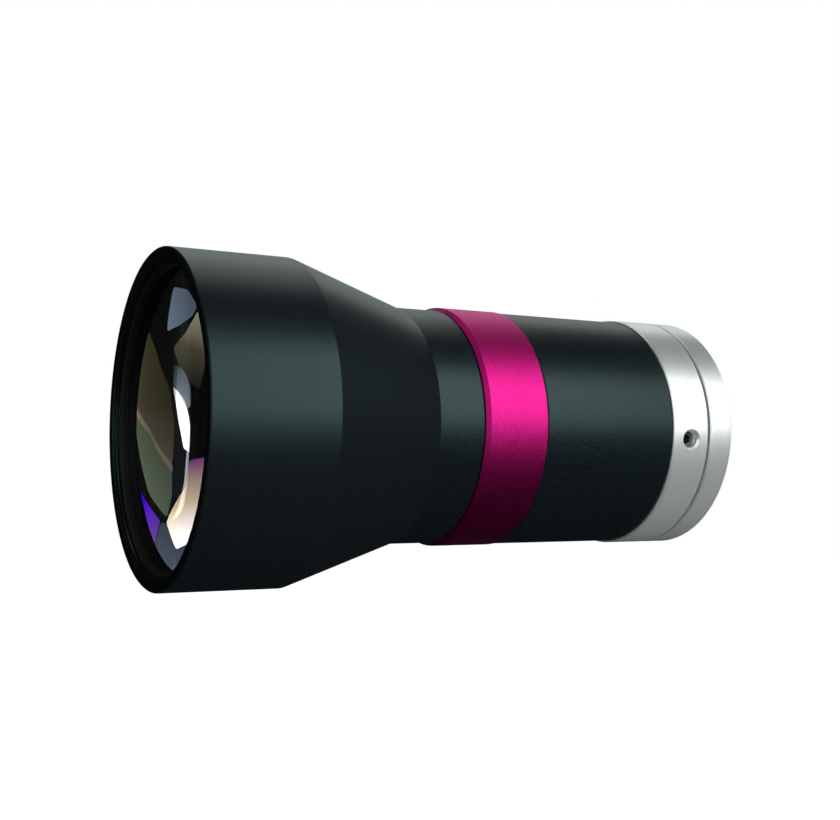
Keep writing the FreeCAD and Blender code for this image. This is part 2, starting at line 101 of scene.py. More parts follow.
def newGroup(name, kind, inputs, outputs):
    tree = bpy.data.node_groups.new(name, kind)
    for label, (socketType, value) in inputs.items():
        socket = tree.interface.new_socket(label, in_out="INPUT", socket_type=socketType)
        if value is not None:
            socket.default_value = value
    for label, socketType in outputs.items():
        tree.interface.new_socket(label, in_out="OUTPUT", socket_type=socketType)
    return tree, tree.nodes.new("NodeGroupInput").outputs, tree.nodes.new("NodeGroupOutput").inputs


# Shader groups shared by the finishes
def makeBlastGroup():
    cloudFineness = 0.3
    cloudShare = 0.15
    speckleGain = 4.0
    pitShare = 0.6
    tree, given, result = newGroup(
        "blastedGrain",
        "ShaderNodeTree",
        {
            "Colour": ("NodeSocketColor", (0.02, 0.02, 0.02, 1)),
            "Grain Size": ("NodeSocketFloat", 0.25),  # millimetres
            "Speckle": ("NodeSocketFloat", 0.3),
        },
        {"Colour": "NodeSocketColor", "Height": "NodeSocketFloat", "Mask": "NodeSocketFloat"},
    )
    place = addNode(tree, "ShaderNodeTexCoord").outputs["Object"]
    fineness = math1(tree, "DIVIDE", 1000.0, given["Grain Size"])
    noise = {"Vector": place, "Scale": fineness, "Detail": 3.0, "Roughness": 0.6}
    grain = addNode(tree, "ShaderNodeTexNoise", noise)
    coarse = math1(tree, "MULTIPLY", fineness, cloudFineness)
    cloud = addNode(tree, "ShaderNodeTexNoise", {"Vector": place, "Scale": coarse, "Detail": 2.0})
    pits = addNode(tree, "ShaderNodeTexVoronoi", {"Vector": place, "Scale": fineness}, feature="F1")
    mixed = math1(tree, "MULTIPLY_ADD", cloud.outputs[0], cloudShare)
    tree.links.new(math1(tree, "MULTIPLY", grain.outputs[0], 1 - cloudShare), mixed.node.inputs[2])
    swing = math1(tree, "SUBTRACT", mixed, 0.5)
    amount = math1(tree, "MULTIPLY", swing, given["Speckle"])
    level = math1(tree, "ADD", math1(tree, "MULTIPLY", amount, speckleGain), 1.0)
    colour = addNode(tree, "ShaderNodeVectorMath", {0: given["Colour"], "Scale": level}, operation="SCALE")
    height = math1(tree, "MULTIPLY_ADD", pits.outputs["Distance"], pitShare)
    tree.links.new(grain.outputs[0], height.node.inputs[2])
    tree.links.new(colour.outputs[0], result["Colour"])
    tree.links.new(height, result["Height"])
    tree.links.new(mixed, result["Mask"])
    return tree


def makeTurningGroup():
    # Tool marks run round the axis, so the pattern depends on the station along it and on the radius
    bandFineness = 0.12  # of the wide bands, against the fine lines
    tree, given, result = newGroup(
        "turningMarks",
        "ShaderNodeTree",
        {"Feed": ("NodeSocketFloat", 0.06), "Unevenness": ("NodeSocketFloat", 0.5)},  # millimetres a turn
        {"Height": "NodeSocketFloat", "Mask": "NodeSocketFloat"},
    )
    place = addNode(tree, "ShaderNodeTexCoord").outputs["Object"]
    parts = addNode(tree, "ShaderNodeSeparateXYZ", {"Vector": place}).outputs
    across = addNode(tree, "ShaderNodeCombineXYZ", {"Y": parts["Y"], "Z": parts["Z"]}).outputs[0]
    radius = addNode(tree, "ShaderNodeVectorMath", {0: across}, operation="LENGTH").outputs["Value"]
    lane = addNode(tree, "ShaderNodeCombineXYZ", {"X": parts["X"], "Y": radius}).outputs[0]
    fineness = math1(tree, "DIVIDE", 1000.0, given["Feed"])
    wide = math1(tree, "MULTIPLY", fineness, bandFineness)
    lines = addNode(tree, "ShaderNodeTexNoise", {"Vector": lane, "Scale": fineness, "Detail": 2.0})
    bands = addNode(tree, "ShaderNodeTexNoise", {"Vector": lane, "Scale": wide, "Detail": 1.0})
    uneven = math1(tree, "MULTIPLY", bands.outputs[0], given["Unevenness"])
    tree.links.new(lines.outputs[0], result["Height"])
    tree.links.new(math1(tree, "ADD", lines.outputs[0], uneven), result["Mask"])
    return tree


blastGroup = makeBlastGroup()
turningGroup = makeTurningGroup()


def newMaterial(name):
    material = bpy.data.materials.new(name)
    material.use_nodes = True
    tree = material.node_tree
    shader = next(node for node in tree.nodes if node.type == "BSDF_PRINCIPLED")
    return material, tree, shader


def setPlain(shader, values):
    for name, value in values.items():
        shader.inputs[name].default_value = value


def addBump(tree, shader, height, depth, strength):
    values = {"Height": height, "Distance": depth * mm, "Strength": strength}
    bump = addNode(tree, "ShaderNodeBump", values)
    tree.links.new(bump.outputs[0], shader.inputs["Normal"])


def spread(tree, mask, low, high):
    # Remaps a mask to a range of values, as for roughness
    node = addNode(tree, "ShaderNodeMapRange", {"Value": mask, "From Min": 0.25, "From Max": 0.75})
    node.inputs["To Min"].default_value = low
    node.inputs["To Max"].default_value = high
    return node.outputs[0]


def blastedFinish(name, look):
    material, tree, shader = newMaterial(name)
    setPlain(shader, look["plain"])
    grain = addNode(tree, "ShaderNodeGroup", node_tree=blastGroup)
    grain.inputs["Colour"].default_value = (*look["colour"], 1)
    grain.inputs["Grain Size"].default_value = look["grain"]
    grain.inputs["Speckle"].default_value = look["speckle"]
    tree.links.new(grain.outputs["Colour"], shader.inputs["Base Color"])
    tree.links.new(spread(tree, grain.outputs["Mask"], *look["roughness"]), shader.inputs["Roughness"])
    addBump(tree, shader, grain.outputs["Height"], look["depth"], look["strength"])
    return material


def turnedFinish(name, look):
    material, tree, shader = newMaterial(name)
    setPlain(shader, look["plain"])
    marks = addNode(tree, "ShaderNodeGroup", node_tree=turningGroup)
    marks.inputs["Feed"].default_value = look["feed"]
    marks.inputs["Unevenness"].default_value = look["unevenness"]
    shade = addNode(tree, "ShaderNodeMix", {"Factor": marks.outputs["Mask"]}, data_type="RGBA")
    shade.inputs[6].default_value = (*look["dark"], 1)
    shade.inputs[7].default_value = (*look["light"], 1)
    tree.links.new(shade.outputs[2], shader.inputs["Base Color"])
    tree.links.new(spread(tree, marks.outputs["Mask"], *look["roughness"]), shader.inputs["Roughness"])
    addBump(tree, shader, marks.outputs["Height"], look["depth"], look["strength"])
    return material


def glassFinish(name, look):
    material, shader = newMaterial(name)[::2]
    setPlain(shader, look)
    return material


satinBlack = turnedFinish(
    "satinBlack",
    {
        "plain": {"Metallic": 0.0, "Specular IOR Level": 0.32, "Specular Tint": (0.60, 1.0, 0.95, 1)},
        "dark": (0.0014, 0.0024, 0.0036),
        "light": (0.0030, 0.0040, 0.0050),
        "roughness": (0.27, 0.33),
        "feed": 0.09,
        "unevenness": 0.5,
        "depth": 0.0012,
        "strength": 0.6,
    },
)
blastedBlack = blastedFinish(
    "blastedBlack",
    {
        "plain": {"Metallic": 0.0, "Specular IOR Level": 0.34, "Specular Tint": (0.60, 1.0, 0.95, 1)},
        "colour": (0.0020, 0.0032, 0.0044),
        "grain": 0.30,
        "speckle": 0.6,
        "roughness": (0.29, 0.41),
        "depth": 0.021,
        "strength": 0.8,
    },
)
mattBlack = blastedFinish(
    "mattBlack",
    {
        "plain": {"Metallic": 0.0, "Specular IOR Level": 0.35},
        "colour": (0.0040, 0.0042, 0.0045),
        "grain": 0.35,
        "speckle": 0.3,
        "roughness": (0.55, 0.70),
        "depth": 0.006,
        "strength": 0.4,
    },
)
magentaAnodised = blastedFinish(
    "magentaAnodised",
    {
        "plain": {"Metallic": 1.0},
        "colour": (0.57, 0.014, 0.21),
        "grain": 0.28,
        "speckle": 0.30,
        "roughness": (0.41, 0.53),
        "depth": 0.020,
        "strength": 0.8,
    },
)
brightMetal = turnedFinish(
    "brightMetal",
    {
        "plain": {"Metallic": 0.87},
        "dark": (0.72, 0.78, 0.76),
        "light": (0.84, 0.89, 0.86),
        "roughness": (0.29, 0.37),
        "feed": 0.10,
        "unevenness": 0.5,
        "depth": 0.0016,
        "strength": 0.7,
    },
)
screwSteel = turnedFinish(
    "screwSteel",
    {
        "plain": {"Metallic": 1.0},
        "dark": (0.10, 0.10, 0.11),
        "light": (0.22, 0.22, 0.23),
        "roughness": (0.30, 0.42),
        "feed": 0.15,
        "unevenness": 0.4,
        "depth": 0.002,
        "strength": 0.5,
    },
)
clearGlass = {
    "Base Color": (0.97, 0.99, 0.98, 1),
    "Metallic": 0.0,
    "Roughness": 0.0,
    "IOR": 1.52,
    "Transmission Weight": 1.0,
}
coatingTints = {
    "coatedViolet": (0.85, 0.72, 1.0, 1),
    "coatedOlive": (0.62, 0.60, 0.22, 1),
    "coatedBlue": (0.36, 0.55, 1.0, 1),
    "coatedAmber": (1.0, 0.55, 0.25, 1),
}
coatings = {}
for name, tint in coatingTints.items():
    coatings[name] = glassFinish(name, {**clearGlass, "Specular Tint": tint})
groundEdge = blastedFinish(
    "blackenedGlassEdge",
    {
        "plain": {"Metallic": 0.0, "Specular IOR Level": 0.2},
        "colour": (0.0030, 0.0032, 0.0035),
        "grain": 0.3,
        "speckle": 0.2,
        "roughness": (0.7, 0.8),
        "depth": 0.004,
        "strength": 0.3,
    },
)
print("materials made")


# One tree turns every round piece from its half section, with a helical thread where one is asked for
def makeTurnedTree():
    mergeReach = 0.000002  # metres
    tree, given, result = newGroup(
        "turnedPiece",
        "GeometryNodeTree",
        {
            "Outline": ("NodeSocketGeometry", None),
            "Segments": ("NodeSocketInt", 192),
            "Thread Pitch": ("NodeSocketFloat", 0.001),
            "Thread Depth": ("NodeSocketFloat", 0.0),
            "Finish": ("NodeSocketMaterial", None),
        },
        {"Piece": "NodeSocketGeometry"},
    )
    outline = given["Outline"]
    count = addNode(tree, "GeometryNodeAttributeDomainSize", {"Geometry": outline}).outputs["Point Count"]
    columns = math1(tree, "ADD", given["Segments"], 1.0)
    rows = math1(tree, "ADD", count, 1.0)
    grid = addNode(tree, "GeometryNodeMeshGrid", {"Vertices X": rows, "Vertices Y": columns}).outputs[0]
    index = addNode(tree, "GeometryNodeInputIndex").outputs[0]
    row = math1(tree, "FLOOR", math1(tree, "DIVIDE", index, columns))
    column = math1(tree, "SUBTRACT", index, math1(tree, "MULTIPLY", row, columns))
    station = math1(tree, "MODULO", row, count)
    position = addNode(tree, "GeometryNodeInputPosition").outputs[0]
    source = {"Geometry": outline, "Index": station}
    corner = addNode(tree, "GeometryNodeSampleIndex", source, data_type="FLOAT_VECTOR")
    tree.links.new(position, corner.inputs["Value"])
    threadName = addNode(tree, "GeometryNodeInputNamedAttribute", {"Name": "thread"}, data_type="FLOAT")
    thread = addNode(tree, "GeometryNodeSampleIndex", source, data_type="FLOAT")
    tree.links.new(threadName.outputs["Attribute"], thread.inputs["Value"])
    place = addNode(tree, "ShaderNodeSeparateXYZ", {"Vector": corner.outputs["Value"]}).outputs
    turn = math1(tree, "DIVIDE", column, given["Segments"])
    turns = math1(tree, "DIVIDE", place["X"], given["Thread Pitch"])
    phase = math1(tree, "FRACT", math1(tree, "ADD", turns, turn))
    ridge = math1(tree, "ABSOLUTE", math1(tree, "SUBTRACT", math1(tree, "MULTIPLY", phase, 2.0), 1.0))
    fullCut = math1(tree, "MULTIPLY", ridge, given["Thread Depth"])
    cut = math1(tree, "MULTIPLY", fullCut, thread.outputs["Value"])
    radius = math1(tree, "SUBTRACT", place["Y"], cut)
    angle = math1(tree, "MULTIPLY", turn, 2 * math.pi)
    turned = addNode(
        tree,
        "ShaderNodeCombineXYZ",
        {
            "X": place["X"],
            "Y": math1(tree, "MULTIPLY", radius, math1(tree, "COSINE", angle)),
            "Z": math1(tree, "MULTIPLY", radius, math1(tree, "SINE", angle)),
        },
    )
    moved = addNode(tree, "GeometryNodeSetPosition", {"Geometry": grid, "Position": turned.outputs[0]})
    merge = {"Geometry": moved.outputs[0], "Distance": mergeReach}
    joined = addNode(tree, "GeometryNodeMergeByDistance", merge)
    smooth = addNode(tree, "GeometryNodeSetShadeSmooth", {"Geometry": joined.outputs[0]})
    real = addNode(tree, "GeometryNodeRealizeInstances", {"Geometry": smooth.outputs[0]})
    last = {"Geometry": real.outputs[0], "Material": given["Finish"]}
    finished = addNode(tree, "GeometryNodeSetMaterial", last)
    tree.links.new(finished.outputs[0], result["Piece"])
    return tree


turnedTree = makeTurnedTree()


def setInputs(modifier, values):
    # Sockets are set by identifier, before the object is first evaluated
    for item in modifier.node_group.interface.items_tree:
        if item.item_type == "SOCKET" and item.in_out == "INPUT" and item.name in values:
            modifier[item.identifier] = values[item.name]


def bakeNodes(piece):
    # The evaluated result becomes a plain mesh and the modifiers go
    evaluated = piece.evaluated_get(bpy.context.evaluated_depsgraph_get())
    mesh = bpy.data.meshes.new_from_object(evaluated)
    piece.modifiers.clear()
    piece.data = mesh
    mesh.name = piece.name
    return piece


def tidyMesh(piece, sharpAngle):
    mergeReach = 0.0000015  # metres, as the next
    shortestEdge = 0.0000005
    shape = bmesh.new()
    shape.from_mesh(piece.data)
    bmesh.ops.remove_doubles(shape, verts=shape.verts, dist=mergeReach)
    bmesh.ops.dissolve_degenerate(shape, dist=shortestEdge, edges=shape.edges)
    bmesh.ops.recalc_face_normals(shape, faces=shape.faces)
    if shape.calc_volume(signed=True) < 0:
        bmesh.ops.reverse_faces(shape, faces=shape.faces)
    shape.to_mesh(piece.data)
    shape.free()
    piece.data.shade_smooth()
    piece.data.set_sharp_from_angle(angle=math.radians(sharpAngle))
    return piece


def softCorners(corners, ease):
    # Each corner becomes a small curve, with a point on either side of it that keeps the flats flat
    longestShare = 0.3  # of the edge beside a corner
    besideShare = 0.5  # of the curve's reach
    curveSteps = 4
    outline = []
    total = len(corners)
    for number, corner in enumerate(corners):
        here = Vector(corner[:2])
        thread = corner[3] if len(corner) > 3 else 0.0
        soft = corner[2] if len(corner) > 2 and corner[2] is not None else ease
        before = Vector(corners[number - 1][:2]) - here
        after = Vector(corners[(number + 1) % total][:2]) - here
        soft = min(soft, before.length * longestShare, after.length * longestShare)
        if soft <= 0.0:
            outline.append((here.x, here.y, thread))
            continue
        start = here + before.normalized() * soft
        end = here + after.normalized() * soft
        outline.append((*(start + before.normalized() * soft * besideShare), thread))
        for step in range(curveSteps + 1):
            part = step / curveSteps
            spot = start * (1 - part) ** 2 + here * 2 * part * (1 - part) + end * part**2
            outline.append((spot.x, spot.y, thread))
        outline.append((*(end + after.normalized() * soft * besideShare), thread))
    return outline


def threadedRun(start, end, radius, pitch, sense):
    # Close-set points along a threaded wall; the thread fades out over half a turn at each end
    pointsPerTurn = 10
    fadeLength = pitch * 0.5
    count = max(2, int(abs(end - start) / pitch * pointsPerTurn))
    run = []
    for number in range(count + 1):
        along = start + (end - start) * number / count
        fade = min(1.0, abs(along - start) / fadeLength, abs(end - along) / fadeLength)
        run.append((along, radius, 0.0, sense * fade))
    return run


def sag(curve, reach):
    return curve - math.sqrt(curve * curve - reach * reach)


def sphereRun(vertex, curve, reachFrom, reachTo, facing, count=28):
    # Points along a spherical face; facing is 1 where it bulges towards -X and -1 towards +X
    run = []
    for number in range(count + 1):
        reach = reachFrom + (reachTo - reachFrom) * number / count
        run.append((vertex + facing * sag(curve, reach), reach, 0.0))
    return run


def turnedPiece(name, corners, finish, ease=0.05, segments=192, pitch=1.0, depth=0.0, sharpAngle=32):
    outline = softCorners(corners, ease)
    mesh = bpy.data.meshes.new(name)
    count = len(outline)
    edges = [(number, (number + 1) % count) for number in range(count)]
    mesh.from_pydata([(along * mm, out * mm, 0) for along, out, thread in outline], edges, [])
    marked = mesh.attributes.new("thread", "FLOAT", "POINT")
    marked.data.foreach_set("value", [thread for along, out, thread in outline])
    piece = bpy.data.objects.new(name, mesh)
    bpy.context.collection.objects.link(piece)
    modifier = piece.modifiers.new("turned", "NODES")
    modifier.node_group = turnedTree
    setInputs(
        modifier,
        {"Segments": segments, "Thread Pitch": pitch * mm, "Thread Depth": depth * mm, "Finish": finish},
    )
    return tidyMesh(bakeNodes(piece), sharpAngle)


def cutAway(piece, cutters, sharpAngle=32):
    for cutter in cutters:
        modifier = piece.modifiers.new("cut", "BOOLEAN")
        modifier.operation = "DIFFERENCE"
        modifier.solver = "EXACT"
        modifier.object = cutter
    bakeNodes(piece)
    for cutter in cutters:
        bpy.data.objects.remove(cutter)
    return tidyMesh(piece, sharpAngle)


def turnMesh(piece, matrix):
    piece.data.transform(matrix)
    return piece


def spanOf(node):
    # First and last station along the axis, and the outer radius, in millimetres
    low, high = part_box(node)
    return low[0] / mm, high[0] / mm, min(-low[1], high[1], -low[2], high[2]) / mm


def stand(piece, slotName, *nodes):
    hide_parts(*nodes)
    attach(piece, "root")
    print("made", piece.name)


# Places that several pieces share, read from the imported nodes
rim, coneEnd, frontRadius = spanOf("front_housing")
neckJointStart, neckBarrelEnd, neckRadius = spanOf("neck_barrel")
accentStart, accentEnd, accentRadius = spanOf("accent_ring")
barrelStart, barrelEnd, barrelRadius = spanOf("rear_barrel")
mountJointStart, mountRingEnd, mountRadius = spanOf("mount_ring")
mountNeckStart, threadEnd, plateRadius = spanOf("camera_mount")
ringFront, ringRear, ringRadius = spanOf("front_retaining_ring")
crownFront, crownRadius = spanOf("front_crown_lens")[::2]
flintRear, flintRadius = spanOf("front_flint_lens")[1:]
meniscusFront, meniscusRear, meniscusRadius = spanOf("front_meniscus_lens")
cellStart = spanOf("rear_lens_cell")[0]
fit = 0.05  # radial clearance of a turned joint

# Front housing: cylinder and cone in one piece, stepped light trap inside
housingShape = {
    "cylinderLength": 18.4,
    "edgeBreak": 0.2,
    "rimBevel": 0.4,
    "ringRelief": 0.7,
    "jointRadius": 17.0,
    "jointDepth": 6.2,
    "throatRadius": 15.6,
    "trapSteps": 6,
    "seatRadius": 19.4,
    "ringThreadPitch": 0.5,
    "ringThreadDepth": 0.16,
    "ringThreadGap": 0.05,
}


def makeFrontHousing(shape):
    boreRadius = ringRadius + fit
    seat = meniscusRear
    jointBottom = coneEnd - shape["jointDepth"]
    tread = (jointBottom - seat) / shape["trapSteps"]
    riser = (shape["seatRadius"] - shape["throatRadius"]) / (shape["trapSteps"] - 1)
    boreStep = spanOf("front_spacer")[1] + fit
    relief = ringRear + shape["ringRelief"]
    jointRadius = shape["jointRadius"] + fit
    corners = [
        (rim, boreRadius + shape["rimBevel"], 0.03),
        (rim, frontRadius - shape["edgeBreak"], 0.05),
        (rim + shape["edgeBreak"], frontRadius, 0.05),
        (rim + shape["cylinderLength"], frontRadius, 0.10),
        (coneEnd, neckRadius, 0.05),
        (coneEnd, jointRadius),
        (jointBottom, jointRadius),
    ]
    for step in reversed(range(shape["trapSteps"])):
        stepRadius = shape["seatRadius"] - riser * step
        corners.append((seat + tread * (step + 1), stepRadius))
        corners.append((seat + tread * step, stepRadius))
    corners += [
        (seat, meniscusRadius + fit),
        (boreStep, meniscusRadius + fit),
        (boreStep, crownRadius + fit),
        (relief, crownRadius + fit),
        (relief, boreRadius),
    ]
    pitch = shape["ringThreadPitch"]
    depth = shape["ringThreadDepth"]
    threadStart = relief - shape["ringThreadGap"]
    corners += threadedRun(threadStart, rim + shape["rimBevel"], boreRadius, pitch, -1.0)
    piece = turnedPiece("frontHousing", corners, satinBlack, pitch=pitch, depth=depth, segments=256)
    stand(piece, "satin_black", "front_housing")


makeFrontHousing(housingShape)

# Retaining ring of the front glass, with two slots for a pin spanner
retainingShape = {"land": 0.75, "bevel": 0.35, "slotWidth": 1.2, "slotDepth": 0.7}


def slotCutter(name, face, depth, reach, width, finish):
    # A bar across the ring, from ahead of its face to the depth of the slots. The cut takes its finish
    ahead = 0.5
    length = reach * 2.2  # past the ring on both sides
    low = face - ahead
    high = face + depth
    shape = bmesh.new()
    bmesh.ops.create_cube(shape, size=1.0)
    mesh = bpy.data.meshes.new(name)
    shape.to_mesh(mesh)
    shape.free()
    size = Matrix.Diagonal(((high - low) * mm, length * mm, width * mm, 1.0))
    mesh.transform(Matrix.Translation(((low + high) / 2 * mm, 0, 0)) @ size)
    mesh.materials.append(finish)
    cutter = bpy.data.objects.new(name, mesh)
    bpy.context.collection.objects.link(cutter)
    return cutter


def makeFrontRetainingRing(shape):
    inner = ringRadius - shape["land"]
    width = shape["slotWidth"]
    corners = [
        (ringFront, inner + shape["bevel"]),
        (ringFront, ringRadius),
        (ringRear, ringRadius),
        (ringRear, inner),
        (ringFront + shape["bevel"], inner),
    ]
    piece = turnedPiece("frontRetainingRing", corners, mattBlack, ease=0.04)
    cutter = slotCutter("ringSlots", ringFront, shape["slotDepth"], ringRadius, width, mattBlack)
    stand(cutAway(piece, [cutter]), "matt_black", "front_retaining_ring")


makeFrontRetainingRing(retainingShape)

# Glass. A cemented pair is one solid of glass to the eye, so each pair is one piece
frontGlass = {
    "crownCurve": 120.0,
    "flintRearCurve": 170.0,
    "meniscusFrontCurve": 48.0,
    "meniscusRearCurve": 160.0,
    "meniscusClear": 19.4,
}


def makeGlass(name, corners, frontFinish, rearFinish, segments, *nodes):
    # The polished faces have their own coatings, and the ground edge is blackened
    edgeLean = 0.5  # a face that leans less than this towards the axis belongs to the edge
    piece = turnedPiece(name, corners, frontFinish, ease=0.0, segments=segments, sharpAngle=40)
    mesh = piece.data
    mesh.materials.clear()
    for finish in (frontFinish, rearFinish, groundEdge):
        mesh.materials.append(finish)
    for face in mesh.polygons:
        if abs(face.normal.x) < edgeLean:
            face.material_index = 2
        else:
            face.material_index = 0 if face.normal.x < 0 else 1
    stand(piece, "coated_glass", *nodes)


def makeFrontGlass(shape):
    violet, olive = coatings["coatedViolet"], coatings["coatedOlive"]
    blue, amber = coatings["coatedBlue"], coatings["coatedAmber"]
    corners = sphereRun(crownFront, shape["crownCurve"], 0.0, crownRadius, 1)
    corners += sphereRun(flintRear, shape["flintRearCurve"], flintRadius, 0.0, -1)
    makeGlass("frontDoublet", corners, violet, olive, 192, "front_crown_lens", "front_flint_lens")
    hollow = meniscusRear - sag(shape["meniscusRearCurve"], shape["meniscusClear"])
    corners = sphereRun(meniscusFront, shape["meniscusFrontCurve"], 0.0, meniscusRadius, 1)
    corners += [(meniscusRear, meniscusRadius, 0.0)]
    corners += sphereRun(hollow, shape["meniscusRearCurve"], shape["meniscusClear"], 0.0, 1)
    makeGlass("frontMeniscus", corners, blue, amber, 192, "front_meniscus_lens")


makeFrontGlass(frontGlass)

# Spacer between the front glass and its meniscus, seen through the glass
spacerShape = {"frontLand": 0.95, "rearLand": 0.7}


def makeFrontSpacer(shape):
    front, rear, radius = spanOf("front_spacer")
    corners = [
        (front, radius - shape["frontLand"]),
        (front, radius),
        (rear, radius),
        (rear, meniscusRadius - shape["rearLand"]),
    ]
    stand(turnedPiece("frontSpacer", corners, mattBlack, ease=0.03), "matt_black", "front_spacer")


makeFrontSpacer(spacerShape)

# Neck barrel: the neck, the seat under the accent ring and a joint at each end
neckShape = {
    "jointRadius": 17.0,
    "tubeRadius": 15.4,
    "tubeEnd": -46.0,
    "throatRadius": 12.4,
    "stopSeatRadius": 13.5,
    "accentSeatRadius": 17.4,
    "seatClearance": 0.2,
    "reliefWidth": 0.4,
    "reliefDepth": 0.35,
}


def makeNeckBarrel(shape):
    stopSeat = spanOf("aperture_stop")[0]
    corners = [
        (neckJointStart, shape["tubeRadius"]),
        (neckJointStart, shape["jointRadius"]),
        (coneEnd, shape["jointRadius"]),
        (coneEnd, neckRadius, 0.06),
        (accentStart - shape["reliefWidth"], neckRadius, 0.06),
        (accentStart - shape["reliefWidth"], neckRadius - shape["reliefDepth"], 0.03),
        (accentStart, neckRadius - shape["reliefDepth"], 0.03),
        (accentStart, shape["accentSeatRadius"]),
        (accentEnd - shape["seatClearance"], shape["accentSeatRadius"]),
        (accentEnd - shape["seatClearance"], shape["jointRadius"]),
        (neckBarrelEnd, shape["jointRadius"]),
        (neckBarrelEnd, shape["stopSeatRadius"]),
        (stopSeat, shape["stopSeatRadius"]),
        (stopSeat, shape["throatRadius"]),
        (shape["tubeEnd"], shape["throatRadius"]),
        (shape["tubeEnd"], shape["tubeRadius"]),
    ]
    stand(turnedPiece("neckBarrel", corners, blastedBlack), "blasted_black", "neck_barrel")


makeNeckBarrel(neckShape)

# Magenta ring, with a wide bevel in front and a narrow one behind
accentShape = {"frontChamfer": 0.6, "rearChamfer": 0.2, "seatRadius": 17.45}


def makeAccentRing(shape):
    corners = [
        (accentStart, shape["seatRadius"]),
        (accentStart, accentRadius - shape["frontChamfer"], 0.04),
        (accentStart + shape["frontChamfer"], accentRadius, 0.06),
        (accentEnd - shape["rearChamfer"], accentRadius, 0.04),
        (accentEnd, accentRadius - shape["rearChamfer"], 0.04),
        (accentEnd, shape["seatRadius"]),
    ]
    stand(turnedPiece("accentRing", corners, magentaAnodised), "magenta_anodised", "accent_ring")


makeAccentRing(accentShape)

# Rear barrel: plain tube with the seat of the rear cell inside
barrelShape = {
    "edgeBreak": 0.2,
    "jointRadius": 17.05,
    "webEnd": -18.0,
    "cellBore": 13.05,
    "cellLipRadius": 11.5,
    "cellLipStart": -29.0,
}


def makeRearBarrel(shape):
    edge = shape["edgeBreak"]
    corners = [
        (barrelStart, shape["jointRadius"]),
        (barrelStart, barrelRadius - edge, 0.04),
        (barrelStart + edge, barrelRadius, 0.04),
        (barrelEnd - edge, barrelRadius, 0.04),
        (barrelEnd, barrelRadius - edge, 0.04),
        (barrelEnd, shape["jointRadius"]),
        (shape["webEnd"], shape["jointRadius"]),
        (shape["webEnd"], shape["cellBore"]),
        (cellStart, shape["cellBore"]),
        (cellStart, shape["cellLipRadius"]),
        (shape["cellLipStart"], shape["cellLipRadius"]),
        (shape["cellLipStart"], shape["jointRadius"]),
    ]
    stand(turnedPiece("rearBarrel", corners, blastedBlack), "blasted_black", "rear_barrel")


makeRearBarrel(barrelShape)

# Mount ring with its radial tapped holes
mountRingShape = {
    "edgeBreak": 0.2,
    "jointRadius": 17.0,
    "boreRadius": 14.6,
    "neckRadius": 15.8,
    "neckSeat": 1.2,
    "holeCount": 3,
    "holeStation": -9.2,
    "holeRadius": 1.40,
    "holeChamfer": 0.4,
    "cutterFoot": 1.0,
    "cutterTop": 0.4,
    "plainFoot": 0.1,
    "plainTop": 0.02,
    "threadPitch": 0.5,
    "threadDepth": 0.16,
}


def holeCutters(shape):
    # A tapped hole is cut by a screw form that stands on the axis and points outwards
    pitch = shape["threadPitch"]
    depth = shape["threadDepth"]
    foot = shape["boreRadius"] - shape["cutterFoot"]
    top = mountRadius - shape["holeChamfer"]
    radius = shape["holeRadius"]
    flare = shape["holeChamfer"] + shape["cutterTop"]
    corners = [(foot, 0.0, 0.0), (foot, radius, 0.0)]
    corners += threadedRun(foot + shape["plainFoot"], top - shape["plainTop"], radius, pitch, -1.0)
    corners += [
        (top, radius, 0.0),
        (top + flare, radius + flare, 0.0),
        (top + flare, 0.0, 0.0),
    ]
    cutters = []
    for number in range(shape["holeCount"]):
        name = f"holeForm{number}"
        cutter = turnedPiece(name, corners, brightMetal, segments=64, pitch=pitch, depth=depth)
        clock = Matrix.Rotation(2 * math.pi * number / shape["holeCount"], 4, "X")
        outwards = Matrix.Rotation(math.radians(-90), 4, "Z")
        place = Matrix.Translation((shape["holeStation"] * mm, 0, 0))
        cutters.append(turnMesh(cutter, clock @ place @ outwards))
    return cutters


def makeMountRing(shape):
    edge = shape["edgeBreak"]
    corners = [
        (mountJointStart, shape["boreRadius"]),
        (mountJointStart, shape["jointRadius"]),
        (barrelEnd, shape["jointRadius"]),
        (barrelEnd, mountRadius - edge, 0.04),
        (barrelEnd + edge, mountRadius, 0.04),
        (mountRingEnd - edge, mountRadius, 0.04),
        (mountRingEnd, mountRadius - edge, 0.04),
        (mountRingEnd, shape["neckRadius"]),
        (barrelEnd + shape["neckSeat"], shape["neckRadius"]),
        (barrelEnd + shape["neckSeat"], shape["boreRadius"]),
    ]
    piece = turnedPiece("mountRing", corners, brightMetal, segments=256)
    stand(cutAway(piece, holeCutters(shape)), "bright_metal", "mount_ring")


makeMountRing(mountRingShape)

# Camera mount: neck with the set screws' groove, plate with the flange face, camera thread
cameraMountShape = {
    "plateStart": -5.1,
    "edgeBreak": 0.2,
    "rearChamfer": 0.75,
    "neckRadius": 15.75,
    "grooveStation": -9.2,
    "grooveDepth": 0.8,
    "threadRadius": 12.7,
    "threadPitch": 0.79375,
    "threadDepth": 0.42,
    "threadStart": 0.1,
    "threadChamfer": 0.5,
    "openingRadius": 11.2,
    "cellBore": 13.3,
    "boreBottom": -3.83,
}


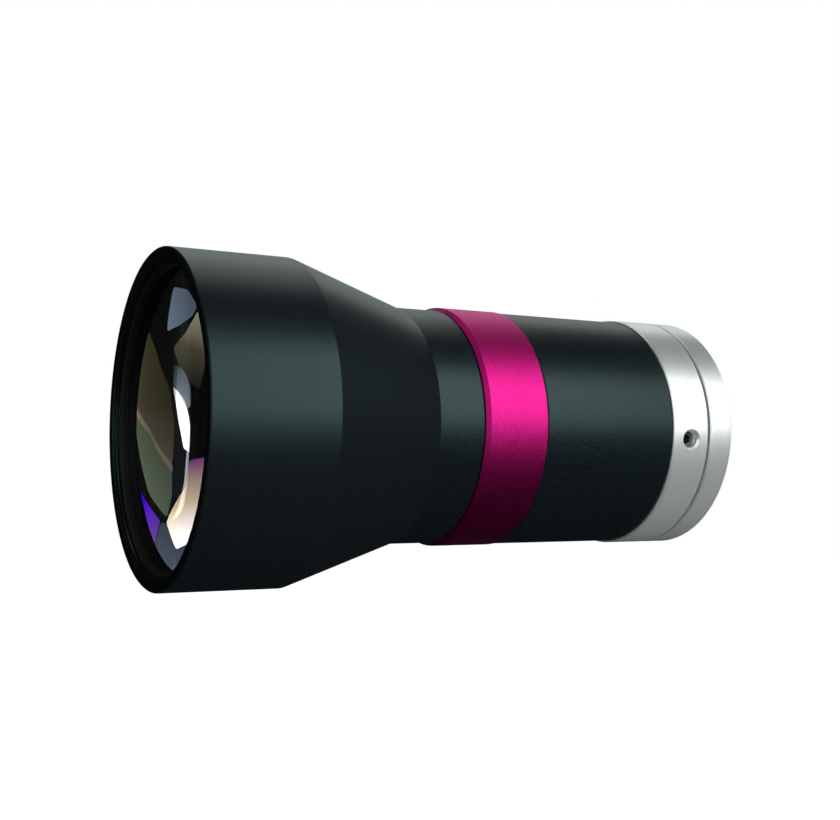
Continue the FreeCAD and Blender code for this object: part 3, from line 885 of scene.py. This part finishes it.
def makeCameraMount(shape):
    edge = shape["edgeBreak"]
    station = shape["grooveStation"]
    groove = shape["grooveDepth"]
    radius = shape["threadRadius"]
    pitch = shape["threadPitch"]
    depth = shape["threadDepth"]
    corners = [
        (mountNeckStart, shape["cellBore"]),
        (mountNeckStart, shape["neckRadius"]),
        (station - groove, shape["neckRadius"]),
        (station, shape["neckRadius"] - groove),
        (station + groove, shape["neckRadius"]),
        (shape["plateStart"], shape["neckRadius"]),
        (shape["plateStart"], plateRadius - edge, 0.04),
        (shape["plateStart"] + edge, plateRadius, 0.04),
        (-shape["rearChamfer"], plateRadius, 0.06),
        (0.0, plateRadius - shape["rearChamfer"], 0.06),
        (0.0, radius, 0.02),
    ]
    runOut = threadEnd - shape["threadChamfer"]
    corners += threadedRun(shape["threadStart"], runOut, radius, pitch, 1.0)
    corners += [
        (threadEnd, radius - shape["threadChamfer"], 0.03),
        (threadEnd, shape["openingRadius"]),
        (shape["boreBottom"], shape["openingRadius"]),
        (shape["boreBottom"], shape["cellBore"]),
    ]
    piece = turnedPiece("cameraMount", corners, brightMetal, pitch=pitch, depth=depth, segments=256)
    stand(piece, "bright_metal", "camera_mount")


makeCameraMount(cameraMountShape)

# Set screws: one blank with a hexagon socket, set round the axis by a tree
screwShape = {
    "count": 3,
    "station": -9.2,
    "radius": 1.37,
    "length": 3.0,
    "tip": 15.0,
    "edge": 0.2,
    "socketWidth": 1.5,
    "socketDepth": 1.2,
    "threadPitch": 0.5,
    "threadDepth": 0.14,
    "plainTip": 0.05,
    "plainTop": 0.02,
}


def makeScrewTree():
    tree, given, result = newGroup(
        "setScrewsRoundAxis",
        "GeometryNodeTree",
        {
            "Screw": ("NodeSocketGeometry", None),
            "Count": ("NodeSocketInt", 3),
            "Station": ("NodeSocketFloat", 0.0),
            "Tip Radius": ("NodeSocketFloat", 0.015),
            "Screw Length": ("NodeSocketFloat", 0.003),
            "Socket Width": ("NodeSocketFloat", 0.0015),
            "Socket Depth": ("NodeSocketFloat", 0.0012),
            "Finish": ("NodeSocketMaterial", None),
        },
        {"Screws": "NodeSocketGeometry"},
    )
    # The hexagon key's form is taken out of the blank, whose tip is at its own origin, towards -X
    corner = math1(tree, "DIVIDE", given["Socket Width"], math.sqrt(3.0))
    keyDepth = math1(tree, "MULTIPLY", given["Socket Depth"], 2.0)
    hexagon = {"Vertices": 6, "Radius": corner, "Depth": keyDepth}
    key = addNode(tree, "GeometryNodeMeshCylinder", hexagon, fill_type="NGON").outputs["Mesh"]
    keyPlace = addNode(tree, "ShaderNodeCombineXYZ", {"X": given["Screw Length"]}).outputs[0]
    keyTurn = addNode(tree, "GeometryNodeTransform", {"Geometry": key, "Translation": keyPlace})
    keyTurn.inputs["Rotation"].default_value = (0, math.pi / 2, 0)
    socketed = addNode(tree, "GeometryNodeMeshBoolean", operation="DIFFERENCE", solver="EXACT")
    tree.links.new(given["Screw"], socketed.inputs["Mesh 1"])
    tree.links.new(keyTurn.outputs[0], socketed.inputs["Mesh 2"])
    lift = addNode(tree, "ShaderNodeCombineXYZ", {"X": given["Tip Radius"]}).outputs[0]
    raised = addNode(tree, "GeometryNodeTransform", {"Geometry": socketed.outputs[0], "Translation": lift})
    spots = addNode(tree, "GeometryNodePoints", {"Count": given["Count"]})
    index = addNode(tree, "GeometryNodeInputIndex").outputs[0]
    turn = math1(tree, "MULTIPLY", math1(tree, "DIVIDE", index, given["Count"]), 2 * math.pi)
    # The blank's +X is laid along -Y, then turned about the axis with its number
    outwards = addNode(tree, "FunctionNodeEulerToRotation")
    outwards.inputs[0].default_value = (0, 0, -math.pi / 2)
    about = addNode(tree, "ShaderNodeCombineXYZ", {"X": turn})
    clocked = addNode(tree, "FunctionNodeEulerToRotation", {0: about.outputs[0]})
    both = addNode(
        tree,
        "FunctionNodeRotateRotation",
        {"Rotation": outwards.outputs[0], "Rotate By": clocked.outputs[0]},
        rotation_space="GLOBAL",
    )
    placed = addNode(
        tree,
        "GeometryNodeInstanceOnPoints",
        {"Points": spots.outputs[0], "Instance": raised.outputs[0], "Rotation": both.outputs[0]},
    )
    station = addNode(tree, "ShaderNodeCombineXYZ", {"X": given["Station"]}).outputs[0]
    moved = addNode(tree, "GeometryNodeTranslateInstances", {"Instances": placed.outputs[0]})
    tree.links.new(station, moved.inputs["Translation"])
    moved.inputs["Local Space"].default_value = False
    real = addNode(tree, "GeometryNodeRealizeInstances", {"Geometry": moved.outputs[0]})
    last = {"Geometry": real.outputs[0], "Material": given["Finish"]}
    finished = addNode(tree, "GeometryNodeSetMaterial", last)
    tree.links.new(finished.outputs[0], result["Screws"])
    return tree


def makeSetScrews(shape):
    length = shape["length"]
    radius = shape["radius"]
    top = length - shape["edge"]
    pitch = shape["threadPitch"]
    depth = shape["threadDepth"]
    corners = [(0.0, 0.0, 0.0), (radius, radius, 0.0)]
    corners += threadedRun(radius + shape["plainTip"], top - shape["plainTop"], radius, pitch, 1.0)
    corners += [
        (top, radius, 0.0),
        (length, radius - shape["edge"], 0.0),
        (length, 0.0, 0.0),
    ]
    piece = turnedPiece("setScrews", corners, screwSteel, segments=64, pitch=pitch, depth=depth)
    modifier = piece.modifiers.new("round", "NODES")
    modifier.node_group = makeScrewTree()
    setInputs(
        modifier,
        {
            "Count": shape["count"],
            "Station": shape["station"] * mm,
            "Tip Radius": shape["tip"] * mm,
            "Screw Length": length * mm,
            "Socket Width": shape["socketWidth"] * mm,
            "Socket Depth": shape["socketDepth"] * mm,
            "Finish": screwSteel,
        },
    )
    stand(tidyMesh(bakeNodes(piece), 32), "screw_steel", "mount_set_screws")


makeSetScrews(screwShape)

# Rear glass, seen from the camera side
rearGlass = {
    "positiveFrontCurve": 30.0,
    "flintRearCurve": 80.0,
    "crownFrontCurve": 38.0,
    "meniscusFrontCurve": 30.0,
    "meniscusRearCurve": 22.0,
    "meniscusClear": 9.8,
}


def makeRearGlass(shape):
    violet, olive, blue = coatings["coatedViolet"], coatings["coatedOlive"], coatings["coatedBlue"]
    front, rear, radius = spanOf("rear_positive_lens")
    corners = sphereRun(front, shape["positiveFrontCurve"], 0.0, radius, 1)
    corners += [(rear, radius, 0.0), (rear, radius * 0.5, 0.0), (rear, 0.0, 0.0)]
    makeGlass("rearPositive", corners, blue, violet, 128, "rear_positive_lens")
    front = spanOf("rear_crown_lens")[0]
    rear = spanOf("rear_flint_lens")[1]
    corners = sphereRun(front, shape["crownFrontCurve"], 0.0, radius, 1)
    corners += sphereRun(rear, shape["flintRearCurve"], radius, 0.0, -1)
    makeGlass("rearDoublet", corners, blue, olive, 128, "rear_crown_lens", "rear_flint_lens")
    front, rear, radius = spanOf("rear_meniscus_lens")
    vertex = front + sag(shape["meniscusFrontCurve"], shape["meniscusClear"])
    corners = sphereRun(vertex, shape["meniscusFrontCurve"], 0.0, shape["meniscusClear"], -1)
    corners += [(front, radius, 0.0)]
    corners += sphereRun(rear, shape["meniscusRearCurve"], radius, 0.0, -1)
    makeGlass("rearMeniscus", corners, olive, blue, 128, "rear_meniscus_lens")


makeRearGlass(rearGlass)

# What stays as packed, with the finish of its slot
slotFinish = {
    "satin_black": satinBlack,
    "matt_black": mattBlack,
    "blasted_black": blastedBlack,
    "magenta_anodised": magentaAnodised,
    "bright_metal": brightMetal,
    "screw_steel": screwSteel,
    "coated_glass": coatings["coatedViolet"],
}
for entry in frame["record"]["subparts"]:
    node = frame["nodes"][entry["node"]]
    for slot in node.material_slots:
        slot.material = slotFinish[entry["material_slot"]]
    print(entry["node"], "has the finish", entry["material_slot"])

# Stage: pale floor, white surroundings, soft lamps and dark cards that only reflections see
stageShape = {
    "floorHeight": -0.10,
    "floorSize": 1.6,
    "fadeStart": 0.30,
    "fadeEnd": 0.70,
    "floorGlow": 0.72,
    "worldShade": 0.30,
    "worldWhite": 1.0,
}


def seenDirectly(tree):
    # One where the camera, a reflection or a view through glass looks, and nought for soft light
    path = addNode(tree, "ShaderNodeLightPath").outputs
    mirrored = math1(tree, "MAXIMUM", path["Is Glossy Ray"], path["Is Transmission Ray"])
    return math1(tree, "MAXIMUM", path["Is Camera Ray"], mirrored)


def makeFloor(shape):
    half = shape["floorSize"] / 2
    level = shape["floorHeight"]
    corners = [(-half, -half, level), (half, -half, level), (half, half, level), (-half, half, level)]
    mesh = bpy.data.meshes.new("floor")
    mesh.from_pydata(corners, [], [(0, 1, 2, 3)])
    floor = bpy.data.objects.new("floor", mesh)
    bpy.context.collection.objects.link(floor)
    material, tree, shader = newMaterial("paleFloor")
    setPlain(shader, {"Base Color": (0.80, 0.80, 0.80, 1), "Roughness": 0.9, "Specular IOR Level": 0.0})
    shader.inputs["Emission Color"].default_value = (1, 1, 1, 1)
    glow = math1(tree, "MULTIPLY", seenDirectly(tree), shape["floorGlow"])
    tree.links.new(glow, shader.inputs["Emission Strength"])
    place = addNode(tree, "ShaderNodeTexCoord").outputs["Object"]
    reach = addNode(tree, "ShaderNodeVectorMath", {0: place}, operation="LENGTH").outputs["Value"]
    fade = addNode(tree, "ShaderNodeMapRange", {"Value": reach}, interpolation_type="SMOOTHSTEP")
    fade.inputs["From Min"].default_value = shape["fadeStart"]
    fade.inputs["From Max"].default_value = shape["fadeEnd"]
    fade.inputs["To Min"].default_value = 1.0
    fade.inputs["To Max"].default_value = 0.0
    tree.links.new(fade.outputs[0], shader.inputs["Alpha"])
    mesh.materials.append(material)


def makeWorld(shape):
    world = bpy.data.worlds.new("studio")
    bpy.context.scene.world = world
    world.use_nodes = True
    tree = world.node_tree
    strength = addNode(tree, "ShaderNodeMapRange", {"Value": seenDirectly(tree)})
    strength.inputs["To Min"].default_value = shape["worldShade"]
    strength.inputs["To Max"].default_value = shape["worldWhite"]
    background = next(node for node in tree.nodes if node.type == "BACKGROUND")
    background.inputs["Color"].default_value = (1, 1, 1, 1)
    tree.links.new(strength.outputs[0], background.inputs["Strength"])


lamps = {
    "frontSoftbox": {
        "place": (0.10, -0.50, 0.27),
        "target": (0.10, 0.0, 0.0),
        "size": (0.20, 0.50),
        "power": 0.50,
        "mirrored": True,
    },
    "rearSoftbox": {
        "place": (0.34, -0.50, 0.305),
        "target": (0.34, 0.0, 0.0),
        "size": (0.28, 0.57),
        "power": 1.95,
        "mirrored": True,
    },
    "topSoftbox": {
        "place": (-0.05, 0.10, 0.70),
        "target": (-0.05, 0.0, 0.0),
        "size": (0.60, 0.40),
        "power": 0.5,
        "mirrored": False,
    },
    "lowFill": {
        "place": (0.05, -0.45, -0.04),
        "target": (0.0, 0.0, -0.02),
        "size": (0.40, 0.10),
        "power": 3.2,
        "mirrored": False,
    },
}
# Each card's reach along x, y and z in metres, and how much it glows
cards = {
    "lowFlag": {"x": (-1.2, 1.2), "y": (-1.2, 1.2), "z": (-0.095, -0.095), "glow": 0.015},
    "topFlag": {"x": (0.17, 1.2), "y": (-0.19, 0.25), "z": (0.35, 0.35), "glow": 0.04},
    "topFrontFlag": {"x": (-1.2, 0.17), "y": (-0.19, 0.07), "z": (0.35, 0.35), "glow": 0.04},
    "rightFlag": {"x": (0.52, 0.52), "y": (-1.2, -0.05), "z": (-0.095, 0.9), "glow": 0.01},
    "leftFlag": {"x": (-1.2, -0.05), "y": (0.50, 0.50), "z": (-0.095, 0.9), "glow": 0.01},
    "frontFlag": {"x": (-0.8, -0.8), "y": (-0.15, 0.50), "z": (-0.095, 0.9), "glow": 0.01},
    "backFlag": {"x": (-0.05, 1.6), "y": (0.90, 0.90), "z": (-0.095, 0.6), "glow": 0.55},
}
cardTint = (0.8, 1, 1, 1)


def makeLamps(looks):
    for name, look in looks.items():
        data = bpy.data.lights.new(name, "AREA")
        data.shape = "RECTANGLE"
        data.size, data.size_y = look["size"]
        data.energy = look["power"]
        lamp = bpy.data.objects.new(name, data)
        bpy.context.collection.objects.link(lamp)
        lamp.location = look["place"]
        aim = Vector(look["target"]) - Vector(look["place"])
        lamp.rotation_euler = aim.to_track_quat("-Z", "Y").to_euler()
        lamp.visible_camera = False
        lamp.visible_glossy = look["mirrored"]


# Tinted screens beside the lens, in one upright plane. Each has an outline, x and z in millimetres, and
# a few glow colours from its foot to its top. The front glass mirrors the first group in its outer face
# and the second in the faces behind it
screenPlane = 240.0
screenEase = 5.0
outerScreens = {
    "brownScreen": {
        "outline": ((-96, -4), (-96, 16), (-120, 28), (-150, 22), (-195, 5), (-210, -15), (-205, -38)),
        "bright": 0.5,
        "glow": ((0.60, 0.58, 0.42), (0.27, 0.24, 0.13), (0.23, 0.20, 0.09)),
    },
    "seamScreen": {
        "outline": ((-98, -4), (-150, -17), (-204, -38), (-203, -43), (-150, -20), (-98, -8)),
        "bright": 0.9,
        "glow": ((0.75, 0.62, 0.50), (0.60, 0.45, 0.32)),
    },
    "oliveScreen": {
        "outline": ((-98, -8), (-150, -20), (-203, -43), (-198, -56), (-180, -66), (-140, -48)),
        "bright": 0.55,
        "glow": ((0.65, 0.90, 0.62), (0.32, 0.38, 0.18)),
    },
    "violetScreen": {
        "outline": ((-60, -20), (-110, -42), (-163, -65), (-119, -79), (-90, -80), (-70, -50)),
        "bright": 2.2,
        "glow": ((0.30, 0.12, 0.34), (0.08, 0.0, 0.80), (0.02, 0.0, 0.70)),
    },
    "greyScreen": {
        "outline": (
            (-164, -66), (-180, -70), (-190, -86), (-228, -90), (-205, -98), (-150, -98), (-116, -80)
        ),
        "bright": 0.6,
        "glow": ((0.50, 0.66, 1.0), (0.28, 0.42, 0.50)),
    },
    "creamScreen": {
        "outline": (
            (-280, -38), (-243, -38), (-232, -54), (-176, -68), (-188, -86), (-228, -90), (-262, -66)
        ),
        "bright": 9.0,
        "glow": ((1.0, 1.0, 0.94), (0.42, 0.34, 0.20), (0.12, 0.02, 0.12)),
    },
    "blueScreen": {
        "outline": ((-160, 57), (-194, 63), (-225, 60), (-220, 52), (-196, 42), (-168, 34)),
        "bright": 1.0,
        "glow": ((0.60, 0.80, 1.0), (0.36, 0.48, 0.66)),
    },
    "goldScreen": {
        "outline": ((-230, 58), (-212, 40), (-190, 28), (-225, 14), (-262, 8), (-270, 34), (-250, 52)),
        "bright": 1.7,
        "glow": ((0.03, 0.03, 0.04), (0.22, 0.20, 0.11), (1.0, 1.0, 0.66)),
    },
}
innerScreens = {
    "paleTopScreen": {
        "outline": ((-211, -46), (-165, -40), (-115, -30), (-104, -20), (-140, -18), (-213, -33)),
        "bright": 0.4,
        "glow": ((0.15, 0.18, 0.24), (0.65, 0.78, 0.95)),
    },
    "whiteScreen": {
        "outline": ((-213, -32), (-150, -22), (-98, -7), (-95, 6), (-150, 3), (-180, -10)),
        "bright": 2.4,
        "glow": ((0.60, 0.58, 0.54), (1.0, 1.0, 1.0)),
    },
    "footScreen": {
        "outline": ((-128, 2), (-95, 2), (-102, 20), (-120, 36), (-200, 53), (-160, 38), (-134, 22)),
        "bright": 0.9,
        "glow": ((0.50, 0.58, 0.72), (1.0, 0.90, 0.66)),
    },
}


def makeSheet(name, corners, bright):
    # A glowing sheet that only reflections and views through glass meet
    mesh = bpy.data.meshes.new(name)
    mesh.from_pydata(corners, [], [range(len(corners))])
    sheet = bpy.data.objects.new(name, mesh)
    bpy.context.collection.objects.link(sheet)
    material, tree, shader = newMaterial(name)
    setPlain(shader, {"Base Color": (0, 0, 0, 1), "Roughness": 1.0, "Specular IOR Level": 0.0})
    shader.inputs["Emission Strength"].default_value = bright
    mesh.materials.append(material)
    sheet.visible_camera = False
    sheet.visible_diffuse = False
    sheet.visible_shadow = False
    return sheet, tree, shader


def makeScreens(looks, mirroredOutside, receivers):
    for name, look in looks.items():
        outline = softCorners(look["outline"], screenEase)
        heights = [up for along, up, thread in outline]
        corners = [(along * mm, screenPlane * mm, up * mm) for along, up, thread in outline]
        screen, tree, shader = makeSheet(name, corners, look["bright"])
        place = addNode(tree, "ShaderNodeTexCoord").outputs["Object"]
        height = addNode(tree, "ShaderNodeSeparateXYZ", {"Vector": place}).outputs["Z"]
        climb = addNode(tree, "ShaderNodeMapRange", {"Value": height})
        climb.inputs["From Min"].default_value = min(heights) * mm
        climb.inputs["From Max"].default_value = max(heights) * mm
        ramp = addNode(tree, "ShaderNodeValToRGB", {"Fac": climb.outputs[0]})
        stops = ramp.color_ramp.elements
        last = len(look["glow"]) - 1
        while len(stops) <= last:
            stops.new(0.5)
        for number, colour in enumerate(look["glow"]):
            stops[number].position = number / last
            stops[number].color = (*colour, 1.0)
        tree.links.new(ramp.outputs["Color"], shader.inputs["Emission Color"])
        screen.visible_glossy = mirroredOutside
        screen.visible_transmission = not mirroredOutside
        screen.light_linking.receiver_collection = receivers


def cardCorners(look):
    # A card lies level where both its heights are the same, and stands upright otherwise
    (x0, x1), (y0, y1), (z0, z1) = look["x"], look["y"], look["z"]
    if z0 == z1:
        return [(x0, y0, z0), (x1, y0, z0), (x1, y1, z0), (x0, y1, z0)]
    return [(x0, y0, z0), (x1, y1, z0), (x1, y1, z1), (x0, y0, z1)]


def makeCards(looks):
    # Cards stand in for a photographer's flags
    for name, look in looks.items():
        card, shader = makeSheet(name, cardCorners(look), look["glow"])[::2]
        shader.inputs["Emission Color"].default_value = cardTint


makeFloor(stageShape)
makeWorld(stageShape)
makeLamps(lamps)
makeCards(cards)
glassOnly = bpy.data.collections.new("glassOnly")
glassOnly.objects.link(bpy.data.objects["frontDoublet"])
makeScreens(outerScreens, True, glassOnly)
makeScreens(innerScreens, False, glassOnly)
print("stage made")
